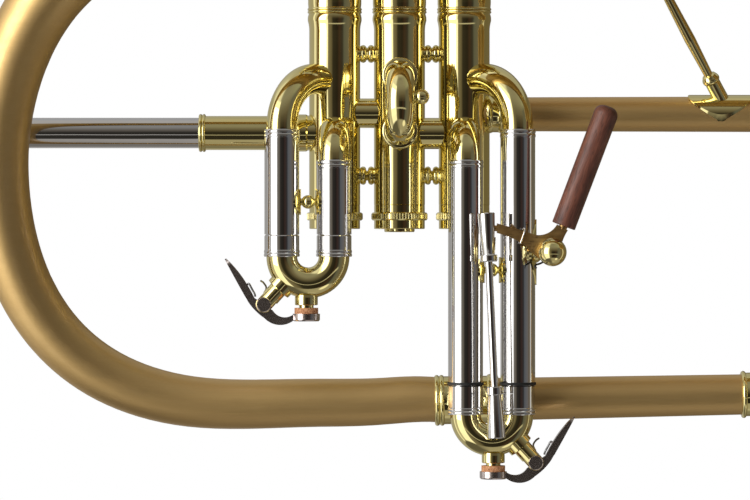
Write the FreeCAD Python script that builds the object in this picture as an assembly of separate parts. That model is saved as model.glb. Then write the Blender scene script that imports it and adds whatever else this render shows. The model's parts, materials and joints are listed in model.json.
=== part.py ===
"""Flugelhorn with three bottom-sprung piston valves and a lever-worked third slide.

Row frame, in millimetres: +X points to the bell, +Z points up, and the player is at -X.
The origin is on the second valve's axis, at the mean height of the main air ports.
The bell runs over the -Y side of the valves, on the player's right.
"""
import FreeCAD, Part
import math
import os

os.makedirs("parts", exist_ok=True)
V = FreeCAD.Vector
X_AXIS = V(1, 0, 0)
Y_AXIS = V(0, 1, 0)
Z_AXIS = V(0, 0, 1)
GAP = 0.05                    # running clearance of everything that slides or turns
WALL = 0.5                    # wall of the drawn tubes

# Valves
VALVE_SPACING = 24.9
VALVE_X = (-VALVE_SPACING, 0.0, VALVE_SPACING)
CASING_R = 9.8
CASING_TOP_R = 10.3
BORE_R = 8.5
PISTON_R = BORE_R - GAP
CASING_BOTTOM = -31.4
CASING_EDGE = 0.2             # chamfer that shows as a line above the bottom cap
CASING_TOP = 84.0
BEAD_Z = 43.35                # middle of the twin beads round each casing
STROKE = 16.5
PISTON_BOTTOM = -19.0
PISTON_TOP = 42.0
PORT_R = 4.6                  # air passages drilled through the pistons
CAP_KNURL_R = 10.85
CAP_FLOOR = -39.3
CAP_BOTTOM = -40.5
CAP_BOSS_BOTTOM = -41.7
TOP_CAP_TOP = 92.0
STEM_R = 2.4
BUTTON_BOTTOM = 112.0
BUTTON_TOP = 117.0
BUTTON_R = 7.2
SPRING_WIRE_R = 0.45
SPRING_COIL_R = 5.6
SPRING_TURNS = 7

# Air ports: heights of the tubes that meet the casings
INLET_Z = -3.6
OUTLET_Z = 3.6
KNUCKLE_12_Z = 4.0
KNUCKLE_23_Z = -3.8
KNUCKLE_12_R = 5.7
KNUCKLE_23_R = 6.0
ELBOW_R = 5.85
UPPER_PORT_Z = 16.8
LOWER_PORT_Z = -3.6
SPOOLS = ((26.8, 3.4, 2.4), (-20.0, 3.5, 1.9))   # height, bead radius and waist radius
KNURL_CUT = 0.3               # radius of one knurl groove
KNURL_COUNT = 60

# First and third slides: two legs side by side in one plane
LEG_Y = -22.6
LEG_SPACING = 19.8
LEG_OUTER_R = 6.6
LEG_INNER_R = 6.1
LEG_BEAD = 0.2
INNER_LEG_X = 24.9            # distance of the inner leg from the middle valve
OUTER_LEG_TOP = -2.9
INNER_LEG_TOP = -14.5
UPPER_BEND = 19.0
LOWER_BEND = 10.5
SLIDE1_SPLIT = -42.7          # where the fixed tubes of the first slide end
SLIDE1_BOW_Z = -51.15
SLIDE1_BRACE_Z = -30.4
SLIDE3_SPLIT = -98.6
SLIDE3_BOW_Z = -110.9
SLIDE3_BRACE_Z = -56.2
BUMPER_H = 1.0
SADDLE_R = 4.9                # saddle discs of the slide braces
SADDLE_THICK = 0.65
BRACE_BALL_R = 2.6

# Second slide, facing -Y
SLIDE2_LOW_Z = -3.5
SLIDE2_HIGH_Z = 17.4
SLIDE2_STUB_END = -21.8
SLIDE2_STUB_R = 6.2
SLIDE2_BOW_Y = -28.0
KNOB_R = 2.95

# Mouthpipe
SLEEVE_END = -77.1
SLEEVE_R = 6.55
MOUTHPIPE_R = 5.85
MOUTHPIPE_START = -58.0
RECEIVER_START = -175.0
RECEIVER_END = -235.0
RECEIVER_BORE_R = 4.9
RECEIVER_BORE_LENGTH = 24.0

# Main tubing after the third valve
EXIT_START_R = 6.5
EXIT_END_R = 6.85
FRONT_X = 146.0               # where the front bow's half circle begins
FRONT_JOINT_X = 138.0         # where the lower tube meets the front bow's tail
LOWER_SLOPE = 0.0195          # the lower tube falls towards the player
LOWER_X = 19.4
LOWER_Z = -106.2
LOWER_Y = -4.0
LOWER_FRONT_R = 7.7
LOWER_JOINT_R = 8.3
JOINT_START = 13.5
JOINT_END = 38.0
BOW_START_R = 8.8

# The slanting stay and its plate on the exit tube
STAY_FOOT_X = 126.8
STAY_HEAD_X = 84.0
PLATE_X = 123.2
PLATE_LENGTH = 12.5           # half the oval plate, along the tube
PLATE_WIDTH = 6.9
PLATE_THICK = 0.6

# Back bow and bell
BOW_END_X = -59.8
BOW_LEFT_X = -152.7
BOW_MID_Z = -14.75
BELL_Y = -34.0
BELL_Z = 78.0
BOW_LOW_R = 9.5
BOW_GROWTH = (3.45, 1.95)     # linear and square growth of the bow's radius
BELL_THROAT_R = 14.9
BELL_RIM_X = 230.0
BELL_RIM_R = 76.0
BELL_FLARE = 33.0
RIM_BEAD_R = 1.5

# Lever that works the third slide
PIVOT = V(57.0, -35.0, -49.4)
LEVER_BALL = V(32.8, -35.0, -40.3)
LOWER_BALL = V(36.1, -35.0, -114.4)
BALL_R = 1.8
SOCKET_R = 2.6
CUP_R = 3.45
CUP_WAIST_R = 2.4
CUP_ENDS = (5.7, -10.0)       # mouth and shoulder of the upper cup, from its ball
LOWER_CUP_ENDS = (4.9, -11.2)
NUT_SPLIT = 0.05
UPPER_NUT = (3.3, 2.7)        # radius and height
LOWER_NUT = (2.85, 3.3)
ROD_R = 1.4
GRIP_FOOT = V(61.4, -35.0, -39.6)
GRIP_TOP = V(78.4, -35.0, 5.3)
GRIP_R = 4.55
TANG_R = 1.6
TANG_LENGTH = 9.0
LEVER_THICK = 3.0
HUB_R = 4.3
PIN_R = 2.0
HEAD_R = 5.3
LEAF_HALF = 12.4              # half the length of the post's pointed leaf
LEAF_WIDTH = 5.3
LEAF_THICK = 0.5


# ---------------------------------------------------------------- shape helpers
def placed(shape, base, axis):
    """Move a shape made along +Z so that it starts at base and runs along axis."""
    shape.Placement = FreeCAD.Placement(base, FreeCAD.Rotation(Z_AXIS, axis))
    return shape


def turned(outline, base, axis):
    """Turn a closed outline of (along, radius) points about an axis.

    A point of four numbers ends an arc that passes through its first pair.
    """
    edges = []
    here = V(outline[0][1], 0, outline[0][0])
    for step in outline[1:] + [outline[0][-2:]]:
        there = V(step[-1], 0, step[-2])
        if len(step) == 4:
            edges.append(Part.Arc(here, V(step[1], 0, step[0]), there).toShape())
        else:
            edges.append(Part.makeLine(here, there))
        here = there
    face = Part.Face(Part.Wire(edges))
    return placed(face.revolve(V(0, 0, 0), Z_AXIS, 360), base, axis)


def rod(start, end, radius):
    return Part.makeCylinder(radius, (end - start).Length, start, end - start)


def tube(start, end, outer, inner):
    return rod(start, end, outer).cut(rod(start, end, inner))


def cone_tube(start, end, outer_a, outer_b):
    """A straight tube whose outer radius changes evenly, with the usual wall."""
    length = (end - start).Length
    outline = [(0, outer_a), (length, outer_b), (length, outer_b - WALL), (0, outer_a - WALL)]
    return turned(outline, start, end - start)


def route(points, bends):
    """A wire of straight runs, joined by tangent arcs of the given radii."""
    edges = []
    here = points[0]
    for index, bend in enumerate(bends):
        corner = points[index + 1]
        back = (points[index] - corner).normalize()
        on = (points[index + 2] - corner).normalize()
        half = back.getAngle(on) / 2
        reach = bend / math.tan(half)
        arc_start = corner + back * reach
        arc_end = corner + on * reach
        middle_way = (back + on).normalize()
        arc_middle = corner + middle_way * (bend / math.sin(half) - bend)
        if (arc_start - here).Length > 0.001:
            edges.append(Part.makeLine(here, arc_start))
        edges.append(Part.Arc(arc_start, arc_middle, arc_end).toShape())
        here = arc_end
    if (points[-1] - here).Length > 0.001:
        edges.append(Part.makeLine(here, points[-1]))
    return Part.Wire(edges)


def swept(points, bends, radius):
    ring = Part.Wire(Part.Circle(points[0], points[1] - points[0], radius).toShape())
    return route(points, bends).makePipeShell([ring], True, True)


def bent_tube(points, bends, outer, inner):
    return swept(points, bends, outer).cut(swept(points, bends, inner))


def lofted_tube(stations):
    """A tapering tube through (centre, direction, side, radius) stations."""
    skins = []
    for wall in (0, WALL):
        rings = []
        for centre, direction, side, radius in stations:
            ring = Part.Wire(Part.Circle(V(0, 0, 0), Z_AXIS, radius - wall).toShape())
            turn = FreeCAD.Rotation(side, V(0, 0, 0), direction, "ZXY")
            ring.Placement = FreeCAD.Placement(centre, turn)
            rings.append(ring)
        skins.append(Part.makeLoft(rings, True, False))
    return skins[0].cut(skins[1])


def arcs_outline(points):
    """A closed wire in the XZ plane; a point of four numbers ends an arc through its first pair."""
    edges = []
    here = V(points[0][0], 0, points[0][1])
    for step in points[1:] + [points[0][-2:]]:
        there = V(step[-2], 0, step[-1])
        if len(step) == 4:
            edges.append(Part.Arc(here, V(step[0], 0, step[1]), there).toShape())
        else:
            edges.append(Part.makeLine(here, there))
        here = there
    return Part.Wire(edges)


def slab(points, centre, half_width):
    """A plate of the given XZ outline, centred on a Y position."""
    face = Part.Face(arcs_outline(points))
    plate = face.extrude(V(0, 2 * half_width, 0))
    plate.translate(centre - Y_AXIS * half_width)
    return plate


def joined(*shapes):
    whole = shapes[0]
    for shape in shapes[1:]:
        whole = whole.fuse(shape)
    return whole.removeSplitter()


def save(name, *solids):
    pieces = [piece for shape in solids for piece in shape.Solids]
    shape = pieces[0] if len(pieces) == 1 else Part.makeCompound(pieces)
    shape.exportStep("parts/" + name + ".step")


# ---------------------------------------------------------------- valves
def port_directions():
    """For each valve: (direction, height) of every tube that meets its casing."""
    left_elbow = V(-LEG_SPACING, LEG_Y, 0).normalize()
    right_elbow = V(LEG_SPACING, LEG_Y, 0).normalize()
    front = V(0, -1, 0)
    first = [(-X_AXIS, INLET_Z), (X_AXIS, KNUCKLE_12_Z), (front, LOWER_PORT_Z),
             (left_elbow, UPPER_PORT_Z)]
    second = [(-X_AXIS, KNUCKLE_12_Z), (X_AXIS, KNUCKLE_23_Z), (front, SLIDE2_LOW_Z),
              (front, SLIDE2_HIGH_Z)]
    third = [(-X_AXIS, KNUCKLE_23_Z), (X_AXIS, OUTLET_Z), (front, LOWER_PORT_Z),
             (right_elbow, UPPER_PORT_Z)]
    return (first, second, third)


PORTS = port_directions()
# Which port joins which: the open way first, then the two ways with the valve down.
WAYS = (((0, 1), (0, 2), (3, 1)), ((0, 1), (2, 1), (0, 3)), ((0, 1), (0, 2), (3, 1)))


def casing_block(x, radius=CASING_R):
    """The outside of one casing, to cut the tubes that meet it."""
    return Part.makeCylinder(radius, 160, V(x, 0, CASING_BOTTOM - 20))


def valve_casing(index):
    x = VALVE_X[index]
    thread_r = 9.2
    outline = [(CASING_BOTTOM, BORE_R), (CASING_BOTTOM - 3.4, BORE_R), (CASING_BOTTOM - 3.4, thread_r),
               (CASING_BOTTOM, thread_r), (CASING_BOTTOM, CASING_R - CASING_EDGE),
               (CASING_BOTTOM + CASING_EDGE, CASING_R), (35.5, CASING_R),
               (38.0, 10.0, 39.5, 10.35), (41.0, 10.3, 42.3, 9.95),
               (42.8, 10.45, BEAD_Z, 10.0), (43.9, 10.45, 44.4, 10.1), (46.0, 10.25),
               (CASING_TOP, CASING_TOP_R), (CASING_TOP, BORE_R)]
    casing = turned(outline, V(x, 0, 0), Z_AXIS)
    for direction, z in PORTS[index]:
        start = V(x, 0, z)
        casing = casing.cut(rod(start, start + direction * 14, ELBOW_R - WALL))
    return casing


def piston(index):
    """A valve piston, drilled with its three air ways and recessed for its spring."""
    x = VALVE_X[index]
    outline = [(PISTON_BOTTOM, PISTON_R), (PISTON_TOP, PISTON_R), (PISTON_TOP, 3.0),
               (PISTON_TOP - 3, 3.0), (PISTON_TOP - 3, 0), (-12.5, 0), (-12.5, 6.6),
               (PISTON_BOTTOM, 6.6)]
    body = turned(outline, V(x, 0, 0), Z_AXIS)
    for number, (first, last) in enumerate(WAYS[index]):
        lift = STROKE if number else 0.0
        heights = [PORTS[index][port][1] + lift for port in (first, last)]
        middle = V(x, 0, sum(heights) / 2)
        for port, height in zip((first, last), heights):
            mouth = V(x, 0, height) + PORTS[index][port][0] * (PISTON_R + 2)
            body = body.cut(rod(middle, mouth, PORT_R))
            body = body.cut(Part.makeSphere(PORT_R, middle))
    return body


def coil(radius, pitch, half_turns, wire_r):
    """A coil spring along +Z: half circles, tilted one way and the other, that meet smoothly."""
    edges = []
    for step in range(half_turns):
        sign = -1 if step % 2 else 1
        low = step * pitch / 2
        start = V(sign * radius, 0, low)
        middle = V(0, sign * radius, low + pitch / 4)
        end = V(-sign * radius, 0, low + pitch / 2)
        edges.append(Part.Arc(start, middle, end).toShape())
    ring = Part.Wire(Part.Circle(V(radius, 0, 0), Y_AXIS, wire_r).toShape())
    return Part.Wire(edges).makePipeShell([ring], True, True)


def piston_spring(index):
    height = -12.8 - CAP_FLOOR
    pitch = (height - 2 * SPRING_WIRE_R) / SPRING_TURNS
    spring = coil(SPRING_COIL_R, pitch, 2 * SPRING_TURNS, SPRING_WIRE_R)
    spring.translate(V(VALVE_X[index], 0, CAP_FLOOR + SPRING_WIRE_R + 0.1))
    return spring


def valve_stem(index):
    outline = [(PISTON_TOP - 3, 0), (PISTON_TOP - 3, 2.98), (PISTON_TOP, 2.98), (PISTON_TOP, 5.5),
               (PISTON_TOP + 2, 5.5), (PISTON_TOP + 2, STEM_R), (BUTTON_BOTTOM, STEM_R),
               (BUTTON_BOTTOM, 0)]
    return turned(outline, V(VALVE_X[index], 0, 0), Z_AXIS)


def finger_button(index):
    """A dished finger button on a short collar, with a seat for its inlay."""
    outline = [(BUTTON_BOTTOM, 0), (BUTTON_BOTTOM, 3.6), (BUTTON_BOTTOM + 1.2, 3.6),
               (BUTTON_BOTTOM + 1.6, 5.6, BUTTON_BOTTOM + 3.0, BUTTON_R - 0.3),
               (BUTTON_BOTTOM + 4.0, BUTTON_R, BUTTON_TOP, BUTTON_R - 0.5), (BUTTON_TOP, 5.7),
               (BUTTON_TOP - 1.3, 5.7), (BUTTON_TOP - 1.3, 0)]
    return turned(outline, V(VALVE_X[index], 0, 0), Z_AXIS)


def knurled(outline, middle, axis, radius, low, high):
    """A turned part with shallow grooves round one band."""
    body = turned(outline, middle, axis)
    for step in range(KNURL_COUNT):
        angle = 2 * math.pi * step / KNURL_COUNT
        side = V(math.cos(angle), math.sin(angle), 0)
        foot = middle + side * (radius + KNURL_CUT * 0.4) + V(0, 0, low)
        body = body.cut(Part.makeCylinder(KNURL_CUT, high - low, foot))
    return body


def bottom_cap(index):
    """A screwed cap: a knurled half-round band, a plain body and a boss with a vent."""
    band_low = -37.3
    band_high = -34.1
    band_middle = (band_low + band_high) / 2
    body_r = CASING_R - 0.05
    outline = [(CASING_BOTTOM, 9.22), (CASING_BOTTOM, body_r), (band_high, body_r),
               (band_high - 0.1, CAP_KNURL_R - 0.5), (band_high - 0.6, CAP_KNURL_R - 0.05),
               (band_middle, CAP_KNURL_R), (band_low + 0.6, CAP_KNURL_R - 0.05),
               (band_low + 0.1, CAP_KNURL_R - 0.5), (band_low, body_r), (CAP_BOTTOM + 0.4, body_r),
               (CAP_BOTTOM + 0.1, body_r - 0.1, CAP_BOTTOM, body_r - 0.4), (CAP_BOTTOM, 5.85),
               (CAP_BOSS_BOTTOM + 0.3, 5.85), (CAP_BOSS_BOTTOM, 5.5), (CAP_BOSS_BOTTOM, 1.6),
               (CAP_FLOOR, 1.6), (CAP_FLOOR, 8.7), (-35.0, 8.7), (-35.0, 9.22)]
    return knurled(outline, V(VALVE_X[index], 0, 0), Z_AXIS, CAP_KNURL_R, band_low + 0.05,
                   band_high - 0.05)


def top_cap(index):
    top = TOP_CAP_TOP
    outline = [(CASING_TOP, BORE_R - 0.02), (CASING_TOP - 4, BORE_R - 0.02),
               (CASING_TOP - 4, 7.4), (top - 2.5, 7.4), (top - 2.5, STEM_R + GAP),
               (top, STEM_R + GAP), (top, 7.6), (top - 0.9, 10.3, top - 2.6, CAP_KNURL_R),
               (CASING_TOP + 0.4, CAP_KNURL_R), (CASING_TOP, CAP_KNURL_R - 0.3)]
    return knurled(outline, V(VALVE_X[index], 0, 0), Z_AXIS, CAP_KNURL_R, CASING_TOP + 0.6,
                   CASING_TOP + 4.4)


def knuckles():
    made = []
    for left, z, radius in ((0, KNUCKLE_12_Z, KNUCKLE_12_R), (1, KNUCKLE_23_Z, KNUCKLE_23_R)):
        piece = tube(V(VALVE_X[left] + 7, 0, z), V(VALVE_X[left + 1] - 7, 0, z), radius,
                     ELBOW_R - WALL)
        for index in (left, left + 1):
            piece = piece.cut(casing_block(VALVE_X[index]))
        made.append(piece)
    return made


def spool(start, end, radius, waist):
    """A turned brace: a round bead by each end and a narrow waist between them."""
    length = (end - start).Length
    middle = length / 2
    root = 1.2
    crown = middle - 1.3
    outline = [(0, 0), (0, radius - 0.5), (root, radius - 0.4), (crown, radius, middle - 0.35, waist + 0.3),
               (middle, waist, middle + 0.35, waist + 0.3),
               (length - crown, radius, length - root, radius - 0.4), (length, radius - 0.5), (length, 0)]
    return turned(outline, start, end - start)


def casing_braces():
    made = []
    for left in (0, 1):
        for z, radius, waist in SPOOLS:
            reach = CASING_R - 1.0
            piece = spool(V(VALVE_X[left] + reach, 0, z), V(VALVE_X[left + 1] - reach, 0, z), radius, waist)
            for index in (left, left + 1):
                piece = piece.cut(casing_block(VALVE_X[index]))
            made.append(piece)
    return made


# ---------------------------------------------------------------- first and third slides
def leg_xs(side):
    """The inner and outer leg positions; side is -1 for the first slide, +1 for the third."""
    return side * INNER_LEG_X, side * (INNER_LEG_X + LEG_SPACING)


def slide_elbows(side):
    inner_x, outer_x = leg_xs(side)
    casing_x = side * VALVE_SPACING
    upper = [V(casing_x, 0, UPPER_PORT_Z), V(outer_x, LEG_Y, UPPER_PORT_Z),
             V(outer_x, LEG_Y, OUTER_LEG_TOP)]
    lower = [V(casing_x, 0, LOWER_PORT_Z), V(inner_x, LEG_Y, LOWER_PORT_Z),
             V(inner_x, LEG_Y, INNER_LEG_TOP)]
    made = []
    for points, bend in ((upper, UPPER_BEND), (lower, LOWER_BEND)):
        elbow = bent_tube(points, [bend], ELBOW_R, ELBOW_R - WALL)
        made.append(elbow.cut(casing_block(casing_x)))
    return made


def outer_leg(x, top, bottom):
    """A fixed slide tube with a double bead round its mouth at the top."""
    length = top - bottom
    outline = [(0, LEG_INNER_R), (0, LEG_OUTER_R), (length - 3.2, LEG_OUTER_R),
               (length - 2.4, LEG_OUTER_R + LEG_BEAD, length - 1.6, LEG_OUTER_R),
               (length - 0.8, LEG_OUTER_R + LEG_BEAD, length, LEG_OUTER_R - 0.1),
               (length, ELBOW_R - WALL), (length - 1.5, ELBOW_R - WALL), (length - 1.5, LEG_INNER_R)]
    return turned(outline, V(x, LEG_Y, bottom), Z_AXIS)


def slide_outer_tubes(side, split):
    inner_x, outer_x = leg_xs(side)
    return [outer_leg(inner_x, INNER_LEG_TOP, split), outer_leg(outer_x, OUTER_LEG_TOP, split)]


def slide_brace(side, z):
    """A brace between the two fixed tubes: a round saddle on each and a ball in the middle."""
    low_x, high_x = sorted(leg_xs(side))
    length = high_x - low_x
    middle = length / 2
    skin = LEG_OUTER_R + SADDLE_THICK
    neck_r = 1.3
    flare_r = 2.2
    outline = [(skin - 0.3, 0), (skin - 0.3, flare_r), (skin + 0.1, neck_r), (middle - 2.25, neck_r),
               (middle, BRACE_BALL_R, middle + 2.25, neck_r), (length - skin - 0.1, neck_r),
               (length - skin + 0.3, flare_r), (length - skin + 0.3, 0)]
    brace = turned(outline, V(low_x, LEG_Y, z), X_AXIS)
    for x, inward in ((low_x, X_AXIS), (high_x, -X_AXIS)):
        base = V(x, LEG_Y, z - SADDLE_R - 1)
        shell = Part.makeCylinder(skin, 2 * SADDLE_R + 2, base)
        disc = rod(V(x, LEG_Y, z), V(x, LEG_Y, z) + inward * (skin + 1), SADDLE_R)
        brace = joined(brace, shell.common(disc))
        brace = brace.cut(Part.makeCylinder(LEG_OUTER_R, 2 * SADDLE_R + 2, base))
    return brace


def slide_legs(side, split, bow_z, bumper):
    """The two moving nickel legs, each with the ferrule that holds the bow."""
    made = []
    for x, top in zip(leg_xs(side), (INNER_LEG_TOP - 2.0, INNER_LEG_TOP - 2.0)):
        length = top - bow_z
        ferrule = split - bumper - 0.2 - bow_z
        outline = [(0, ELBOW_R + 0.02), (0, LEG_OUTER_R), (0.6, LEG_OUTER_R + LEG_BEAD, 1.3, LEG_OUTER_R),
                   (1.9, LEG_OUTER_R + LEG_BEAD, 2.6, LEG_OUTER_R), (ferrule - 0.4, LEG_OUTER_R),
                   (ferrule, LEG_OUTER_R - 0.3), (ferrule, LEG_INNER_R - GAP),
                   (length, LEG_INNER_R - GAP), (length, LEG_INNER_R - GAP - WALL),
                   (3.0, LEG_INNER_R - GAP - WALL), (3.0, ELBOW_R + 0.02)]
        made.append(turned(outline, V(x, LEG_Y, bow_z), Z_AXIS))
    return made


def slide_bow(side, bow_z):
    inner_x, outer_x = leg_xs(side)
    bottom = bow_z - LEG_SPACING / 2
    top = bow_z + 2.9
    points = [V(inner_x, LEG_Y, top), V(inner_x, LEG_Y, bottom), V(outer_x, LEG_Y, bottom),
              V(outer_x, LEG_Y, top)]
    return bent_tube(points, [LEG_SPACING / 2, LEG_SPACING / 2], ELBOW_R, ELBOW_R - WALL)


def bow_block(side, bow_z):
    """The outside of a slide bow, to cut what is soldered onto it."""
    ring = Part.makeTorus(LEG_SPACING / 2, ELBOW_R, V(0, 0, 0), Y_AXIS)
    ring.translate(V(sum(leg_xs(side)) / 2, LEG_Y, bow_z))
    return ring


def slide3_bumpers():
    made = []
    for x in leg_xs(1):
        made.append(tube(V(x, LEG_Y, SLIDE3_SPLIT - BUMPER_H - 0.1), V(x, LEG_Y, SLIDE3_SPLIT - 0.1),
                         LEG_OUTER_R + 0.35, LEG_INNER_R + 0.05))
    return made


# ---------------------------------------------------------------- water keys
KEY_PIVOT = (16.6, -18.1)     # hinge pin, outwards and up from the bow's centre
KEY_CUP_X = 0.6
KEY_POST_R = 3.45
KEY_SLOT = 1.55               # half the slot in the post
KEY_LEVER = 1.45              # half the lever's thickness
KEY_TOUCH = 2.8               # half the touch blade's width
KEY_PIN_R = 1.2
KEY_HEAD_R = 2.8
KEY_HEAD_H = 0.9
KEY_HUB_R = 3.0
CORK_R = 4.5


class WaterKey:
    """One water key; side is -1 on the first slide, +1 on the third."""

    def __init__(self, side, bow_z):
        self.side = side
        self.centre = V(sum(leg_xs(side)) / 2, LEG_Y, bow_z)
        self.pivot = self.at(*KEY_PIVOT)
        self.out = (self.pivot - self.centre).normalize()
        self.reach = (self.pivot - self.centre).Length
        self.bow = bow_block(side, bow_z)

    def at(self, out, up, y=0.0):
        return self.centre + V(self.side * out, y, up)

    def plate(self, points, half_width):
        """A plate with an outline of (outwards, up) points, centred on the slide's plane."""
        mirrored = []
        for point in points:
            pairs = list(point)
            pairs[0::2] = [self.side * value for value in point[0::2]]
            mirrored.append(tuple(pairs))
        return slab(mirrored, self.centre, half_width)

    def saddle(self):
        """The drain nipple, and the slotted post that carries the hinge."""
        nipple = turned([(-14.5, 1.5), (-14.5, 4.2), (-15.4, 4.35), (-18.1, 4.35), (-18.35, 4.1),
                         (-18.35, 2.75), (-19.35, 2.75), (-19.35, 1.5)],
                        self.at(KEY_CUP_X, 0), Z_AXIS).cut(self.bow)
        end = self.reach
        post = turned([(13.5, 0), (13.5, 5.0), (16.6, 4.9), (17.0, KEY_POST_R), (end, KEY_POST_R),
                       (end + KEY_POST_R * 0.7071, KEY_POST_R * 0.7071, end + KEY_POST_R, 0)],
                      self.centre, self.out)
        slot = Part.makeBox(20, 2 * KEY_SLOT, 20, V(-10, -KEY_SLOT, end - KEY_HUB_R - 0.4))
        slot.Placement = FreeCAD.Placement(self.centre, FreeCAD.Rotation(V(0, 0, 0), Y_AXIS, self.out, "ZYX"))
        post = post.cut(slot).cut(self.bow)
        hole = rod(self.pivot - Y_AXIS * 8, self.pivot + Y_AXIS * 8, KEY_PIN_R + 0.01)
        seat = self.pivot - Y_AXIS * (KEY_POST_R - KEY_HEAD_H)
        recess = rod(seat, seat - Y_AXIS * 5, KEY_HEAD_R + 0.02)
        return [nipple, post.cut(hole).cut(recess)]

    def screw(self):
        """A slotted screw through both ears of the post, with its head let in."""
        seat = KEY_POST_R - KEY_HEAD_H
        face = KEY_POST_R + 0.25
        outline = [(-seat, 0), (-seat, KEY_PIN_R), (seat + 0.01, KEY_PIN_R), (seat + 0.01, KEY_HEAD_R),
                   (face - 0.3, KEY_HEAD_R), (face, KEY_HEAD_R - 0.3), (face, 0)]
        screw = turned(outline, self.pivot, -Y_AXIS)
        groove = Part.makeBox(7, 0.6, 0.5, V(-3.5, -face - 0.1, -0.25))
        groove.translate(self.pivot)
        return screw.cut(groove)

    def lever(self):
        """The key: a cup for the cork, a curved arm, the hinge hub and a flat touch blade."""
        cup = turned([(-24.45, 0), (-24.45, 4.7), (-23.9, 5.15), (-21.6, 5.15), (-21.6, 4.6),
                      (-23.0, 4.6), (-23.0, 0)], self.at(KEY_CUP_X, 0), Z_AXIS)
        arm = self.plate([(31.5, -0.9), (27.3, -8.7, 22.4, -17.4), (19.9, -20.4, 16.4, -23.3),
                          (11.4, -25.8, 5.5, -24.2), (5.5, -21.8), (9.6, -22.9, 13.3, -20.4),
                          (20.3, -15.6), (24.6, -8.2, 31.0, -0.7)], KEY_LEVER)
        hub = rod(self.pivot - Y_AXIS * KEY_LEVER, self.pivot + Y_AXIS * KEY_LEVER, KEY_HUB_R)
        lever = joined(cup, arm, hub, self.touch())
        return lever.cut(rod(self.pivot - Y_AXIS * 8, self.pivot + Y_AXIS * 8, KEY_PIN_R + GAP))

    def touch(self):
        """The wide touch blade, rounded at its tip."""
        blade = self.plate([(31.5, -0.9), (28.0, -7.4, 23.6, -15.3), (21.3, -13.8),
                            (25.0, -7.6, 31.0, -0.7)], KEY_TOUCH)
        tip = self.at(31.25, -0.8)
        root = self.at(22.0, -14.5)
        way = (tip - root).normalize()
        across = way.cross(Y_AXIS).normalize()
        centre = tip - way * KEY_TOUCH
        disc = rod(centre - across * 6, centre + across * 6, KEY_TOUCH)
        box = Part.makeBox(2 * KEY_TOUCH, 12, 24, V(-KEY_TOUCH, -6, -24))
        box.Placement = FreeCAD.Placement(centre, FreeCAD.Rotation(Y_AXIS, across, way, "ZXY"))
        return blade.common(joined(disc, box))

    def cork(self):
        return rod(self.at(KEY_CUP_X, -22.98), self.at(KEY_CUP_X, -19.36), CORK_R)


# ---------------------------------------------------------------- second slide
def slide2_stubs():
    made = []
    for z in (SLIDE2_LOW_Z, SLIDE2_HIGH_Z):
        length = -SLIDE2_STUB_END
        outline = [(6, ELBOW_R - WALL), (6, ELBOW_R), (CASING_R + 0.8, SLIDE2_STUB_R),
                   (length - 2.6, SLIDE2_STUB_R), (length - 1.9, SLIDE2_STUB_R + 0.6, length - 1.3, SLIDE2_STUB_R),
                   (length - 0.7, SLIDE2_STUB_R + 0.6, length, SLIDE2_STUB_R - 0.1), (length, 5.75),
                   (CASING_R + 1.2, 5.75), (CASING_R + 1.2, ELBOW_R - WALL)]
        made.append(turned(outline, V(0, 0, z), -Y_AXIS).cut(casing_block(0)))
    return made


def slide2_crook():
    start = SLIDE2_STUB_END + 9.5
    front = SLIDE2_BOW_Y - (SLIDE2_HIGH_Z - SLIDE2_LOW_Z) / 2
    points = [V(0, start, SLIDE2_LOW_Z), V(0, front, SLIDE2_LOW_Z), V(0, front, SLIDE2_HIGH_Z),
              V(0, start, SLIDE2_HIGH_Z)]
    bend = (SLIDE2_HIGH_Z - SLIDE2_LOW_Z) / 2
    crook = bent_tube(points, [bend, bend], 5.7, 5.2)
    for z in (SLIDE2_LOW_Z, SLIDE2_HIGH_Z):
        collar = turned([(0.2, 5.4), (0.2, SLIDE2_STUB_R), (4.6, SLIDE2_STUB_R),
                         (5.3, SLIDE2_STUB_R + 0.6, 6.0, SLIDE2_STUB_R), (6.2, 5.4)],
                        V(0, SLIDE2_STUB_END, z), -Y_AXIS)
        crook = crook.fuse(collar)
    return crook


def slide2_knob():
    """A ball knob on a short foot at the side of the crook."""
    middle = V(0, SLIDE2_BOW_Y, (SLIDE2_HIGH_Z + SLIDE2_LOW_Z) / 2)
    y = SLIDE2_BOW_Y - (SLIDE2_HIGH_Z - SLIDE2_LOW_Z) / 2
    centre = V(8.0, y, 8.8)
    foot = turned([(-6.5, 0), (-6.5, 2.6), (-3.4, 2.5), (-2.6, 1.9), (0, 1.9), (0, 0)], centre, X_AXIS)
    ring = Part.makeTorus(middle.z - SLIDE2_LOW_Z, 5.7, V(0, 0, 0), X_AXIS)
    ring.translate(middle)
    return joined(Part.makeSphere(KNOB_R, centre), foot).cut(ring)


# ---------------------------------------------------------------- mouthpipe
def mouthpipe_sleeve():
    length = -VALVE_SPACING - SLEEVE_END
    inner = MOUTHPIPE_R + GAP
    outline = [(0, inner), (0, SLEEVE_R), (0.7, SLEEVE_R + 0.75, 1.3, SLEEVE_R),
               (1.9, SLEEVE_R + 0.75, 2.6, SLEEVE_R), (length - 14.2, SLEEVE_R),
               (length - 13.9, SLEEVE_R + 0.6), (length - 11.0, SLEEVE_R + 0.6),
               (length - 10.4, SLEEVE_R + 0.2), (length - 6, SLEEVE_R + 0.2), (length - 6, inner)]
    sleeve = turned(outline, V(SLEEVE_END, 0, INLET_Z), X_AXIS)
    return sleeve.cut(casing_block(-VALVE_SPACING))


def mouthpipe_tube():
    return tube(V(RECEIVER_START, 0, INLET_Z), V(MOUTHPIPE_START, 0, INLET_Z), MOUTHPIPE_R,
                MOUTHPIPE_R - 0.9)


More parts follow.
